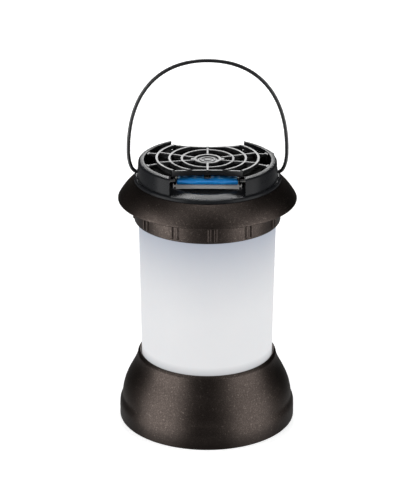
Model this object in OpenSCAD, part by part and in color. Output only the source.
// Battery lantern with a fuel-heated insect repeller on top.
// Millimetres. The origin is the centre of the footprint on the ground, +Z is up, -Y is the front.

/* [Base] */
// Radius of the base at its foot
base_r = 73; // [71:0.5:76]
// Radius of the neck that holds the diffuser
neck_r = 57.9; // [57.5:0.1:59]
// Height of the neck's lip
neck_top = 58.2; // [57:0.2:59]
// Wall of the base shell
base_wall = 2.4; // [2:0.1:3]

/* [Diffuser] */
// Outer radius of the diffuser at its lower end
glow_low_r = 54.1; // [53.5:0.1:54.3]
// Outer radius of the diffuser at its upper end
glow_top_r = 56.2; // [55:0.1:56.4]
// Wall of the diffuser
glow_wall = 2; // [1.5:0.1:2.5]

/* [Top] */
// Radius of the ribbed collar
collar_r = 59.6; // [59:0.1:60]
// Radius of the shade's lip
shade_r = 72.6; // [70:0.2:75]
// Radius of the repeller's flange
flange_r = 59.6; // [59:0.1:60]
// Inner radius of the repeller's rim
rim_in_r = 51.3; // [50.8:0.1:52]
// Half width of the gaps in the repeller's wall
gap_half = 30; // [29.5:0.1:32]

/* [Handle] */
// Radius of the handle's wire
wire_r = 1.45; // [1.2:0.05:1.5]
// Half width of the handle, to the middle of its wire
bail_half = 63.75; // [63:0.05:66]
// Height of the middle of the wire at the top of the handle
bail_top = 308.4; // [290:0.1:320]

/* [Standard parts] */
// Radius of an AA cell
cell_r = 7.25; // [7.1:0.05:7.3]
// Length of an AA cell's can, without its nub
cell_len = 49.5; // [49:0.1:49.5]
// Width of the repellent mat
mat_w = 48.5; // [46:0.5:48.5]
// Depth of the repellent mat
mat_d = 35; // [30:1:36]
// Thickness of the repellent mat
mat_t = 3.3; // [2.5:0.1:3.4]
// Radius of the fuel can
can_r = 10.5; // [9:0.5:11]

/* [Hidden] */
$fn = 96;
e = 0.01;

// Heights
plate_z = 0.9;
plate_top = 3.3;
shelf_z = 47;
shelf_top = 49.4;
board_top = 51;
collar_z = 175.5;
deck_z = 207.2;
deck_top = 209;
drum_z = 209.2;
floor_top = 211.2;
flange_top = 212;
rim_z = 226;
pivot_z = 215;
heat_top = 215.6;
well_floor = 100;
slot_roof = 222;
guard_z = 222.2;
guard_t = 0.8;

// Base
foot_r = 6;
foot_ring = 58;
post_ring = 54;
post_angles = [20, 160, 200, 340];
plate_r = 67.2;
button_z = 35;
button_r = 5.9;
button_face = 67.4;

// Battery bay
door_x = 32.4;
door_y = [-30.6, 31.5];
hinge_z = 2.1;
door_t = 2.2;
bay_x = 32;
bay_y = 29.4;
tray_x = 33.8;
tray_y = 32;
tray_top = 20.6;
cell_pitch = 16;
cell_z = 10.8;
contact_t = 0.4;

// Repeller
seat_ring = 53;
seat_angles = [45, 135, 225, 315];
leg_ring = 36;
leg_angles = [25, 155, 205, 335];
bore_gap = 0.05;
start_angle = 140;
start_r = 4.5;
start_z = 218;
slider_off = 28;
slider_travel = 8;
heat_x = 25.2;
heat_y = 33;
mat_front = -33;
spoke_angles = [17, 163, 197, 343];
grille_cut_r = 82;
grille_cut_y = 109.5;
edge_w = 2.4;

// ---- helpers ----

function bezier(a, b, c, d, n) = [for (i = [0:n]) let (t = i / n, s = 1 - t)
    s * s * s * a + 3 * s * s * t * b + 3 * s * t * t * c + t * t * t * d];

function arc(centre, r, from, to, n) = [for (i = [0:n]) let (a = from + (to - from) * i / n)
    centre + r * [cos(a), sin(a)]];

function reverse(list) = [for (i = [len(list) - 1:-1:0]) list[i]];

function unit(v) = v / norm(v);

function tangent(path, i) = unit(path[min(i + 1, len(path) - 1)] - path[max(i - 1, 0)]);

function ring_at(path, i, r, sides, side_dir) = let (t = tangent(path, i), u = unit(cross(t, side_dir)),
    v = cross(t, u)) [for (k = [0:sides - 1]) path[i] + r * (cos(360 * k / sides) * u + sin(360 * k / sides) * v)];

// A wire of radius r along a path. side_dir is never parallel to the path.
module wire(path, r, sides, side_dir) {
    n = len(path);
    points = [for (i = [0:n - 1]) each ring_at(path, i, r, sides, side_dir)];
    walls = [for (i = [0:n - 2], k = [0:sides - 1])
        let (a = i * sides + k, b = i * sides + (k + 1) % sides)
        each [[a, a + sides, b + sides], [a, b + sides, b]]];
    start = [for (k = [0:sides - 1]) k];
    finish = [for (k = [sides - 1:-1:0]) (n - 1) * sides + k];
    polyhedron(points, concat([start], walls, [finish]), convexity = 10);
}

// A slab between two corners
module slab(low, high) {
    translate(low) cube(high - low);
}

// A tube between two heights
module tube(r_out, r_in, z0, z1) {
    difference() {
        translate([0, 0, z0]) cylinder(r = r_out, h = z1 - z0);
        translate([0, 0, z0 - 1]) cylinder(r = r_in, h = z1 - z0 + 2);
    }
}

// A piece of a tube between two angles
module tube_piece(r_in, r_out, z0, z1, from, to) {
    rotate([0, 0, from]) rotate_extrude(angle = to - from) translate([r_in, z0]) square([r_out - r_in, z1 - z0]);
}

// Children on a circle at the given angles
module around(r, angles) {
    for (a = angles) rotate([0, 0, a]) translate([r, 0, 0]) children();
}

// A rod along X between two values of x
module rod_x(x0, x1, r, y, z) {
    translate([x0, y, z]) rotate([0, 90, 0]) cylinder(r = r, h = x1 - x0);
}

// A rod along Y between two values of y
module rod_y(y0, y1, r, x, z) {
    translate([x, y0, z]) rotate([-90, 0, 0]) cylinder(r = r, h = y1 - y0);
}

// A pan-head screw with its head's underside at z, pointing up
module screw_up(z, shaft, head_r, head_h, shaft_r) {
    translate([0, 0, z - head_h]) cylinder(r = head_r, h = head_h);
    translate([0, 0, z - e]) cylinder(r = shaft_r, h = shaft + e);
}

// The same screw pointing down
module screw_down(z, shaft, head_r, head_h, shaft_r) {
    translate([0, 0, z]) cylinder(r = head_r, h = head_h);
    translate([0, 0, z - shaft]) cylinder(r = shaft_r, h = shaft + e);
}

// ---- lantern: base ----

bell = bezier([70.9, 19], [69.7, 36], [60.4, 43], [neck_r, neck_top - 4.4], 14);
bell_table = [for (p = bell) [p[1], p[0]]];

function base_outline() = concat(
    [[67.6, 0.6], [68.4, 0.2]],
    arc([base_r - 0.7, 0.9], 0.7, -90, 0, 6),
    [[base_r, 9], [base_r - 0.6, 15.4], [base_r - 1.1, 16.1], [base_r - 1.8, 17.2]],
    bell,
    [[neck_r - 0.7, neck_top - 2], [neck_r - 1.6, neck_top - 0.6], [neck_r - 2.5, neck_top], [55.2, neck_top], [54.8, neck_top - 0.4],
        [54.8, shelf_top], [42, shelf_top], [42, shelf_z], [lookup(shelf_z, bell_table) - base_wall - 0.3, shelf_z]],
    [for (p = reverse(bell)) if (p[1] < shelf_z - 1) [p[0] - base_wall, p[1]]],
    [[base_r - 3, 14], [base_r - base_wall, 9], [base_r - base_wall, 4.2], [base_r - 3.4, 3], [67.6, 3]]);

module base_shell() {
    color([0.24, 0.2, 0.18]) difference() {
        union() {
            rotate_extrude() polygon(base_outline());
            around(post_ring, post_angles) translate([0, 0, plate_top]) cylinder(r = 3.6, h = shelf_z - 3);
            intersection() {
                rod_y(56, button_face, 9, 0, button_z);
                translate([0, 0, 20]) cylinder(r = 69, h = 28);
            }
            for (s = [-1, 1]) slab([s * 9.9 - 0.8, 49.6, 26], [s * 9.9 + 0.8, 60, shelf_z + 0.5]);
        }
        around(post_ring, post_angles) translate([0, 0, plate_top - 1]) cylinder(r = 1.25, h = 13);
        rod_y(50, 80, button_r + bore_gap, 0, button_z);
        rod_y(50, 62, button_r + 1.7, 0, button_z);
        rod_y(button_face - 0.6, 80, 9, 0, button_z);
    }
}

module base_plate() {
    color([0.08, 0.08, 0.085]) difference() {
        union() {
            translate([0, 0, plate_z]) cylinder(r = plate_r, h = plate_top - plate_z);
            tube(66, 64.2, plate_top - e, 7);
            for (s = [-1, 1]) slab([s * 35.6 - 1.4, 29.6, plate_top - 1], [s * 35.6 + 1.4, 33.4, 4.4]);
        }
        slab([-door_x - 0.4, door_y[0] - 0.4, -1], [door_x + 0.4, door_y[1] + 1.5, 9]);
        slab([-8.4, -35, -1], [8.4, -30, 9]);
        rod_x(-38, 38, 0.96, door_y[1], hinge_z);
        around(foot_ring, [45, 135, 225, 315]) translate([0, 0, plate_z - 1]) cylinder(r = foot_r + 0.1, h = 2.1);
        around(post_ring, post_angles) translate([0, 0, -1]) cylinder(r = 1.6, h = 9);
        around(post_ring, post_angles) translate([0, 0, -1]) cylinder(r = 3.1, h = 3.2);
    }
}

module foot(i) {
    color([0.05, 0.05, 0.05]) around(foot_ring, [45 + 90 * i]) rotate_extrude()
        polygon([[0, 0.3], [2.6, 0.3], [3, 0], [foot_r - 0.8, 0], [foot_r, 0.8], [foot_r, 2], [0, 2]]);
}

module base_screws() {
    color("silver") around(post_ring, post_angles) difference() {
        screw_up(2.2, 12, 2.8, 1.2, 1.2);
        slab([-0.3, -1.8, 0], [0.3, 1.8, 1.6]);
        slab([-1.8, -0.3, 0], [1.8, 0.3, 1.6]);
    }
}

module battery_door() {
    color([0.1, 0.1, 0.105]) difference() {
        union() {
            slab([-door_x, door_y[0], hinge_z - door_t / 2], [door_x, door_y[1], hinge_z + door_t / 2]);
            rod_x(-door_x, door_x, door_t / 2, door_y[1], hinge_z);
            rod_x(-36.6, 36.6, 0.9, door_y[1], hinge_z);
            slab([-8, -34.6, hinge_z - door_t / 2], [8, door_y[0] + 1, hinge_z + door_t / 2]);
        }
        for (i = [0:3]) slab([-7, -33.8 + 1.4 * i, 0], [7, -33.1 + 1.4 * i, 1.6]);
    }
}

// ---- lantern: battery bay ----

function cell_x(i) = (i - 1.5) * cell_pitch;

// Direction in which a cell's nub points along Y
function cell_dir(i) = i % 2 == 0 ? 1 : -1;

module battery_tray() {
    color([0.12, 0.12, 0.125]) difference() {
        slab([-tray_x, -tray_y, plate_top], [tray_x, tray_y, tray_top]);
        slab([-bay_x, -bay_y, 0], [bay_x, bay_y, cell_z]);
        for (i = [0:3]) rod_y(-bay_y, bay_y, cell_r + 0.3, cell_x(i), cell_z);
        for (s = [-1, 1]) slab([-bay_x, s * 29 - 0.4, 0], [bay_x, s * 29 + 0.4, 18]);
    }
}

module aa_cell(i) {
    d = cell_dir(i);
    nub_end = bay_y - contact_t - 0.05;
    color([0.15, 0.35, 0.3]) translate([cell_x(i), 0, cell_z]) rotate([-90 * d, 0, 0]) rotate_extrude()
        polygon([[0, nub_end - 1 - cell_len], [cell_r - 0.5, nub_end - 1 - cell_len],
            [cell_r, nub_end - 0.5 - cell_len], [cell_r, nub_end - 1.8], [cell_r - 0.8, nub_end - 1],
            [2.75, nub_end - 1], [2.75, nub_end], [0, nub_end]]);
}

module contact_springs() {
    turns = 4;
    steps = 14;
    far = bay_y - contact_t;
    gap = 2 * far - 0.05 - 1 - cell_len - 0.1;
    color("silver") for (i = [0:3]) {
        path = [for (k = [0:turns * steps]) let (t = k / (turns * steps), a = 360 * turns * t, r = 5 - 2.4 * t)
            [cell_x(i) + r * cos(a), -cell_dir(i) * (far - 0.4 - (gap - 0.8) * t), cell_z + r * sin(a)]];
        wire(path, 0.35, 6, [0, 1, 0]);
    }
}

module contact_plates() {
    color([0.75, 0.74, 0.7]) {
        for (x = [-cell_pitch, cell_pitch])
            slab([x - 14, bay_y - contact_t, 4.6], [x + 14, bay_y, 17.4]);
        slab([-14, -bay_y, 4.6], [14, contact_t - bay_y, 17.4]);
        for (s = [-1, 1]) slab([s * 24 - 6, -bay_y, 4.6], [s * 24 + 6, contact_t - bay_y, 17.4]);
    }
}

module wiring() {
    color([0.5, 0.06, 0.05]) {
        for (s = [-1, 1]) wire(bezier([s * 24, -tray_y - 0.1, 13], [s * 25, -44, 14], [s * 12, -32, 32],
            [s * 12, -30, shelf_top - 0.1], 14), 0.8, 8, [1, 0, 0]);
        for (s = [-1, 1]) wire(bezier([s * 6, 50.5, 41], [s * 6, 42, 41], [s * 10, 34, 40],
            [s * 10, 34, shelf_top - 0.1], 12), 0.8, 8, [1, 0, 0]);
    }
}

// ---- lantern: lamp ----

led_ring = 36;
led_angles = [for (i = [0:11]) 30 * i];

module lamp_board() {
    color([0.1, 0.35, 0.2]) difference() {
        translate([0, 0, shelf_top]) cylinder(r = 47, h = board_top - shelf_top);
        around(44.5, [0, 120, 240]) translate([0, 0, shelf_top - 1]) cylinder(r = 1.6, h = 4);
    }
}

module leds() {
    color([0.95, 0.9, 0.6]) around(led_ring, led_angles)
        slab([-1.4, -1.75, board_top], [1.4, 1.75, board_top + 0.9]);
}

module lamp_reflector() {
    color("white") difference() {
        rotate_extrude() polygon([[0, 53.2], [9, 53.2], [4, 76], [5.2, 77], [6.4, 76], [12, 54.6], [46, 53.6],
            [50.6, 57.6], [51.6, 57.2], [51.2, board_top + e], [50, board_top + e], [49, 52.2], [0, 52.2]]);
        around(led_ring, led_angles) translate([0, 0, board_top - 1]) cylinder(r = 2.7, h = 8);
    }
}

module switch_board() {
    color([0.1, 0.35, 0.2]) slab([-9, 50.6, 27], [9, 52.2, 43]);
}

module tact_switch() {
    color([0.2, 0.2, 0.2]) {
        slab([-3, 52.2, button_z - 3], [3, 55.8, button_z + 3]);
        rod_y(55.8 - e, 57.2, 1.7, 0, button_z);
    }
}

module lamp_button() {
    color([0.09, 0.09, 0.095]) difference() {
        union() {
            rod_y(61, button_face - 0.4, button_r, 0, button_z);
            rod_y(60, 61.2, button_r + 1.2, 0, button_z);
            rod_y(59.2, 61, 1.6, 0, button_z);
        }
        rod_y(button_face - 0.8, button_face, 4.4, 0, button_z);
    }
}

module lower_gasket() {
    color([0.7, 0.7, 0.7]) tube(54.5, 51.9, shelf_top, board_top);
}

module diffuser() {
    top = 186.6;
    color([0.9, 0.92, 0.95]) rotate_extrude() polygon([[glow_low_r, board_top], [glow_top_r, top],
        [glow_top_r - glow_wall, top], [glow_low_r - glow_wall, board_top]]);
}

module upper_gasket() {
    color([0.7, 0.7, 0.7]) tube(56.6, 53, 186.6, 188);
}

// ---- lantern: top ----

module collar() {
    lug_z = [177, 190];
    color([0.24, 0.2, 0.18]) difference() {
        union() {
            rotate_extrude() polygon([[57.1, collar_z], [collar_r - 0.5, collar_z], [collar_r, collar_z + 0.5],
                [collar_r, 193.4], [58.6, 194.4], [58.6, 205.2], [49.6, 205.2], [49.6, 202.8], [56.2, 202.8],
                [56.2, 190], [50, 190], [50, 188], [57.1, 188]]);
            for (i = [0:11]) let (a = -86 + 30 * i) {
                tube_piece(collar_r - 1, collar_r + 1.2, lug_z[0], lug_z[1], a - 3.8, a - 0.9);
                tube_piece(collar_r - 1, collar_r + 1.2, lug_z[0], lug_z[1], a + 0.9, a + 3.8);
            }
        }
        around(seat_ring, seat_angles) translate([0, 0, 200]) cylinder(r = 1.25, h = 9);
    }
}

shade_curve = bezier([59.5, 209], [63.5, 205.8], [68.5, 201.4], [shade_r, 194.4], 12);

module shade() {
    color([0.24, 0.2, 0.18]) difference() {
        rotate_extrude() polygon(concat(
            [[47.2, deck_z], [47.2, deck_top], [58.8, deck_top]],
            shade_curve,
            [[shade_r, 193.7], [shade_r - 0.6, 193.4], [shade_r - 1.6, 193.7]],
            [for (p = reverse(shade_curve)) p - [1.2, 1.7]],
            [[58, deck_z]]));
        around(seat_ring, seat_angles) translate([0, 0, deck_z - 1]) cylinder(r = 1.4, h = 4);
        around(seat_ring, seat_angles) translate([0, 0, 207.8]) cylinder(r = 2.8, h = 4);
    }
}

module socket_ring() {
    color([0.1, 0.1, 0.105]) difference() {
        union() {
            tube(56, 44.4, 205.2, deck_z);
            tube(47, 44.4, 190, 206);
            for (a = [0, 120, 240]) tube_piece(44.6, 49, 190, 205.4, a - 6, a + 6);
        }
        for (a = [0, 120, 240]) tube_piece(43, 47, 192, 220, a - 3.5, a + 3.5);
        around(seat_ring, seat_angles) translate([0, 0, 200]) cylinder(r = 1.4, h = 9);
    }
}

module socket_screws() {
    color("silver") around(seat_ring, seat_angles) screw_down(207.8, 5, 2.6, 1.1, 1.2);
}

module cartridge_well() {
    color([0.88, 0.9, 0.92]) rotate_extrude() polygon([[0, well_floor - 1.6], [15, well_floor - 1.6],
        [17.6, well_floor + 1], [17.6, 188], [49, 188], [49, 190], [17.8, 190], [16, 189], [16, well_floor + 1.6],
        [14.4, well_floor], [0, well_floor]]);
}

// ---- repeller: housing and grille ----

// The hollow behind the front and rear sills: their inner edges are arcs that meet the heater's guide legs
module sill_hollow(z0, z1) {
    r = 34.6;
    for (s = [-1, 1]) translate([0, s * (46.8 - r), z0]) cylinder(r = r, h = z1 - z0);
    slab([-40, -29, z0], [40, 29, z1]);
}

module repeller_housing() {
    color([0.1, 0.1, 0.105]) difference() {
        union() {
            rotate_extrude() polygon([[0, drum_z], [flange_r - 0.4, drum_z], [flange_r, drum_z + 0.4],
                [flange_r, flange_top - 0.4], [flange_r - 0.4, flange_top], [57, flange_top + 0.2],
                [57, floor_top], [0, floor_top]]);
            difference() {
                rotate_extrude() polygon([[rim_in_r, floor_top - 1], [57, floor_top - 1], [57, flange_top + 0.2],
                    [55.95, 224.4], [55.2, 225.1], [rim_in_r, rim_z]]);
                slab([-gap_half, -80, floor_top], [gap_half, 80, 240]);
            }
            difference() {
                intersection() {
                    rotate_extrude() polygon([[40, floor_top - 1], [58, floor_top - 1], [58.9, flange_top],
                        [46, 213.4], [40, 213.4]]);
                    slab([-gap_half - 0.1, -80, 200], [gap_half + 0.1, 80, 240]);
                }
                sill_hollow(floor_top, 240);
            }
            around(leg_ring, leg_angles) translate([0, 0, 196.2]) cylinder(r = 3, h = floor_top - 196.2);
            intersection() {
                rotate([0, 0, start_angle]) slab([38, -3, floor_top - 1], [47, 3, 215]);
                cylinder(r = 50, h = 240);
            }
        }
        slab([-29.4, -29, drum_z - 2], [29.4, 29, 240]);
        rod_x(-60, 60, wire_r + bore_gap, 0, pivot_z);
        around(leg_ring, leg_angles) translate([0, 0, 195]) cylinder(r = 1.05, h = 8);
        around(leg_ring, leg_angles) translate([0, 0, 206.4]) cylinder(r = 1.05, h = 8);
        rotate([0, 0, start_angle]) rod_x(45, 62, start_r + bore_gap, 0, start_z);
        rotate([0, 0, start_angle]) rod_x(37, 47.5, 4.05, 0, start_z);
        tube_piece(48, 60, 216.4, 221.6, slider_off - 3.4, slider_off + slider_travel + 3.4);
        tube_piece(48, rim_in_r + 0.3, 213.4, 223.6, slider_off - 7, slider_off + slider_travel + 13);
    }
}

module bayonet_skirt() {
    color([0.1, 0.1, 0.105]) {
        tube(44, 42, 194.2, drum_z);
        around(0, [0, 120, 240]) tube_piece(43.5, 46.4, 196, 203, -3, 3);
    }
}

// Everything outside the concave front and rear edges, moved in by a margin
module grille_cuts(margin, z0, z1) {
    for (s = [-1, 1]) translate([0, s * grille_cut_y, z0]) cylinder(r = grille_cut_r + margin, h = z1 - z0, $fn = 200);
}

module grille() {
    spoke_w = 2.2;
    color([0.14, 0.14, 0.145]) {
        difference() {
            union() {
                tube(22, 19.7, 224, 226.5);
                tube(32.2, 29.7, 224, 226.9);
                tube(42.5, 39.9, 223, 227.4);
                tube(11.4, 8.6, 223.4, 226.2);
                translate([0, 0, 223.4]) cylinder(r = 9, h = 1.6);
                translate([0, 0, 223.4]) cylinder(r = 4.4, h = 2.4);
                for (a = concat(spoke_angles, [90, 270]))
                    rotate([0, 0, a]) slab([10.4, -spoke_w / 2, 223.8], [41, spoke_w / 2, 226.3]);
                intersection() {
                    grille_cuts(edge_w, slot_roof, 226.6);
                    translate([0, 0, 200]) cylinder(r = 42.5, h = 40);
                }
            }
            grille_cuts(0, 200, 240);
        }
        for (a = spoke_angles) rotate([0, 0, a]) {
            slab([41, -spoke_w / 2, 223.8], [rim_in_r - 0.3, spoke_w / 2, 226]);
            slab([rim_in_r - 2, -3, 219], [rim_in_r - 0.4, 3, 226]);
        }
    }
}

// A dark sheet-metal guard under the grille, with slots for the vapour, ears over the heater's corners and two
// folded rails beside the mat. The ears leave the vents at both sides open.
module heat_guard() {
    rail_x = 26.2;
    color([0.09, 0.09, 0.09]) {
        difference() {
            translate([0, 0, guard_z]) union() {
                cylinder(r = 41.5, h = guard_t);
                difference() {
                    cylinder(r = 47, h = guard_t);
                    slab([-60, -13, -1], [60, 13, 2]);
                }
            }
            intersection() {
                grille_cuts(edge_w + 0.1, 200, 240);
                slab([-30.2, -60, 200], [30.2, 60, 240]);
            }
            for (y = [-18:6:18], x = [-27:13.5:27]) slab([x - 5.4, y - 1.1, 200], [x + 5.4, y + 1.1, 240]);
        }
        for (s = [-1, 1]) slab([s * rail_x - 0.4, -24, 219.6], [s * rail_x + 0.4, 24, guard_z + e]);
    }
}

// ---- repeller: heater ----

module heater_plate() {
    tab_y = leg_ring * sin(leg_angles[0]);
    color([0.62, 0.61, 0.6]) difference() {
        union() {
            slab([-heat_x, 2 - heat_y, heat_top - 1.2], [heat_x, heat_y - 2, heat_top]);
            // Leaning lips that guide the mat up onto the plate
            for (s = [0, 180]) difference() {
                rotate([0, 0, s]) translate([-heat_x, 0, 0]) rotate([90, 0, 90]) linear_extrude(height = 2 * heat_x)
                    polygon([[heat_y, heat_top - 3.5], [heat_y - 0.15, heat_top - 2.9], [heat_y - 1, heat_top - 0.9],
                        [heat_y - 1.35, heat_top - 0.3], [heat_y - 2 - e, heat_top], [heat_y - 2.4, heat_top - 1.2],
                        [heat_y - 1.3, heat_top - 3.5]]);
                translate([0, -50, heat_top - 193.1]) rotate([-90, 0, 0]) cylinder(r = 190, h = 100, $fn = 200);
            }
            for (sx = [-1, 1], sy = [-1, 1]) {
                slab([sx * (heat_x + 0.5) - 0.5 - e, sy * tab_y - 3, 212.2],
                    [sx * (heat_x + 0.5) + 0.5 + e, sy * tab_y + 3, heat_top]);
                slab([sx * 31 - 5.8, sy * tab_y - 3, 212.2], [sx * 31 + 5.8, sy * tab_y + 3, 213]);
                slab([sx * 25.9 - 0.9, sy * (heat_y - 1.9) - 0.9, heat_top - 2],
                    [sx * 25.9 + 0.9, sy * (heat_y - 1.9) + 0.9, heat_top - 1]);
                slab([sx * 27 - 0.4, sy * (heat_y - 1.9) - 1.9, floor_top + 0.05],
                    [sx * 27 + 0.4, sy * (heat_y - 1.9) + 1.9, heat_top]);
            }
        }
        around(leg_ring, leg_angles) translate([0, 0, 210]) cylinder(r = 1.3, h = 4);
    }
}

module insulators() {
    color([0.9, 0.88, 0.8]) around(leg_ring, leg_angles) tube(3.2, 1.3, floor_top, 212.2);
}

module heater_screws() {
    color("silver") around(leg_ring, leg_angles) screw_down(213, 5.6, 2.1, 1.1, 1);
}

module mat_clip() {
    color([0.6, 0.6, 0.58]) translate([2.6, 0, 0]) rotate([90, 0, -90]) linear_extrude(height = 5.2)
        polygon([[5, guard_z], [22.2, guard_z], [28.4, 219.6], [30.6, 220.9], [30.8, 220.6], [28.4, 219.15],
            [22, guard_z - 0.4], [5, guard_z - 0.4]]);
}

module mat() {
    z0 = heat_top + 0.1;
    color([0.12, 0.5, 0.85]) slab([-mat_w / 2, mat_front, z0], [mat_w / 2, mat_front + mat_d, z0 + mat_t]);
}

module burner_block() {
    color([0.6, 0.61, 0.62]) difference() {
        union() {
            slab([-14, -12, 209.6], [14, 12, heat_top - 1.3]);
            translate([0, 0, 208.6]) cylinder(r = 7, h = 2);
        }
        translate([0, 0, 208]) cylinder(r = 4.6, h = 2.6);
        slab([-10, -9, 210.4], [10, 9, 213.4]);
        for (x = [-9:6:9]) slab([x - 1, -13, 211], [x + 1, 13, 212.6]);
    }
}

module mixer_tube() {
    color([0.72, 0.58, 0.3]) difference() {
        tube(4.5, 3, 205.6, 210.2);
        rod_x(-6, 6, 1, 0, 207.2);
        rod_y(-6, 6, 1, 0, 207.2);
    }
}

module jet_nozzle() {
    color([0.72, 0.58, 0.3]) difference() {
        union() {
            translate([0, 0, 203.2]) cylinder(r = 2.2, h = 3);
            translate([0, 0, 206]) cylinder(r1 = 2.2, r2 = 1, h = 1.2);
        }
        translate([0, 0, 202]) cylinder(r = 0.4, h = 8);
    }
}

module regulator() {
    color([0.55, 0.56, 0.58]) difference() {
        union() {
            translate([0, 0, 194.2]) cylinder(r = 11, h = 9);
            translate([0, 0, 190.6]) cylinder(r = 9.4, h = 4);
            translate([0, 0, 203]) cylinder(r = 6, h = 2.6);
            slab([8, -4, 197], [20, 4, 202]);
        }
        translate([0, 0, 189]) cylinder(r = 5.6, h = 8.6);
        translate([0, 0, 196]) cylinder(r = 2.3, h = 4);
        translate([0, 0, 203.2]) cylinder(r = 2.25, h = 4);
        translate([0, 0, 199]) cylinder(r = 0.6, h = 6);
    }
}

module cartridge_seal() {
    color([0.1, 0.1, 0.1]) tube(5.4, 2.5, 197, 197.6);
}

module chassis_plate() {
    color([0.1, 0.1, 0.105]) difference() {
        translate([0, 0, 194.2]) cylinder(r = 41.8, h = 2);
        translate([0, 0, 190]) cylinder(r = 11.05, h = 9);
        around(leg_ring, leg_angles) translate([0, 0, 190]) cylinder(r = 1.3, h = 9);
        around(26, [for (i = [0:5]) 60 * i + 30]) translate([0, 0, 190]) cylinder(r = 5, h = 9);
    }
}

module chassis_screws() {
    color("silver") around(leg_ring, leg_angles) screw_up(194.2, 7.6, 2.2, 1.1, 1);
}

module piezo_igniter() {
    color([0.05, 0.05, 0.05]) rotate([0, 0, start_angle]) {
        rod_x(38, 46.8, 4, 0, start_z);
        rod_x(36.4, 38.2, 1.4, 0, start_z);
    }
}

module electrode() {
    color([0.92, 0.9, 0.85]) {
        rod_x(-21, -14.6, 1.5, 6, 211.8);
        rod_x(-23, -20.9, 0.7, 6, 211.8);
    }
}

module igniter_lead() {
    inward = -[cos(start_angle), sin(start_angle), 0];
    tip = [0, 0, start_z] - 36.35 * inward;
    end = [-23.05, 6, 211.8];
    middle = bezier(tip + inward, tip + [2.4, -2, -9], [-29, 14, 202], end - [1, 0, 0], 14);
    color([0.7, 0.1, 0.08]) wire(concat([tip], middle, [end]), 0.7, 8, [0.5, 1, 0]);
}

// ---- moving pieces of the repeller ----

module start_button() {
    color([0.55, 0.1, 0.08]) rotate([0, 0, start_angle]) {
        difference() {
            rod_x(50.2, 58.4, start_r, 0, start_z);
            translate([66.6, 0, start_z]) sphere(r = 9);
        }
        rod_x(49.2, 50.4, start_r + 0.9, 0, start_z);
        rod_x(48.8, 49.4, 2, 0, start_z);
    }
}

module power_slider() {
    color([0.16, 0.16, 0.165]) {
        tube_piece(57.35, 58.6, 214, 223, slider_off - 6, slider_off + 6);
        for (i = [-2:2]) tube_piece(58.4, 59.4, 214.4, 222.6, slider_off + 2 * i - 0.5, slider_off + 2 * i + 0.5);
        tube_piece(50.6, 57.5, 216.8, 221.2, slider_off - 3, slider_off + 3);
        tube_piece(49.6, 50.9, 214, 223, slider_off - 6, slider_off + 12);
    }
}

bail_bend_z = 232.2;
bail_side = bezier([57, pivot_z], [62.3, pivot_z + 0.5], [bail_half, 225.6], [bail_half, bail_bend_z], 9);
bail_arch = bezier([bail_half, bail_bend_z], [bail_half, 281.4], [38.9, bail_top], [0, bail_top], 15);

module bail() {
    half = concat([for (i = [0:len(bail_side) - 2]) bail_side[i]], bail_arch);
    right = [for (p = half) [p[0], 0, p[1]]];
    left = [for (i = [len(half) - 2:-1:0]) [-half[i][0], 0, half[i][1]]];
    color([0.04, 0.04, 0.045]) {
        wire(concat(right, left), wire_r, 12, [0, 1, 0]);
        rod_x(53, 57.6, wire_r, 0, pivot_z);
        rod_x(-57.6, -53, wire_r, 0, pivot_z);
    }
}

module cartridge_can() {
    color([0.8, 0.8, 0.82]) rotate_extrude() polygon([[0, 115], [can_r - 2.5, 114.4], [can_r - 1.4, 114],
        [can_r, 115], [can_r, 182], [can_r - 0.6, 184.4], [7, 188.4], [5.2, 188.4], [can_r - 1.6, 183.6],
        [can_r - 0.9, 181.6], [can_r - 0.9, 116], [0, 116]]);
}

module cartridge_valve() {
    color([0.9, 0.9, 0.9]) rotate_extrude() polygon([[0, 184], [5.1, 184], [5.1, 188.4], [7.6, 188.4], [7.6, 190.2],
        [5.5, 190.4], [5.5, 196.6], [5, 197], [2.2, 197], [2.2, 198.6], [0, 198.6]]);
}

base_shell();
base_plate();
foot(0);  // foot_1
foot(1);  // foot_2
foot(2);  // foot_3
foot(3);  // foot_4
base_screws();
battery_tray();
aa_cell(0);  // aa_cell_1
aa_cell(1);  // aa_cell_2
aa_cell(2);  // aa_cell_3
aa_cell(3);  // aa_cell_4
contact_springs();
contact_plates();
wiring();
lamp_board();
leds();
lamp_reflector();
switch_board();
tact_switch();
lower_gasket();
diffuser();
upper_gasket();
collar();
shade();
socket_ring();
socket_screws();
cartridge_well();
battery_door();
lamp_button();
repeller_housing();
bayonet_skirt();
grille();
heat_guard();
heater_plate();
insulators();
heater_screws();
mat_clip();
burner_block();
mixer_tube();
jet_nozzle();
regulator();
cartridge_seal();
chassis_plate();
chassis_screws();
piezo_igniter();
electrode();
igniter_lead();
bail();
mat();
start_button();
power_slider();
cartridge_can();
cartridge_valve();
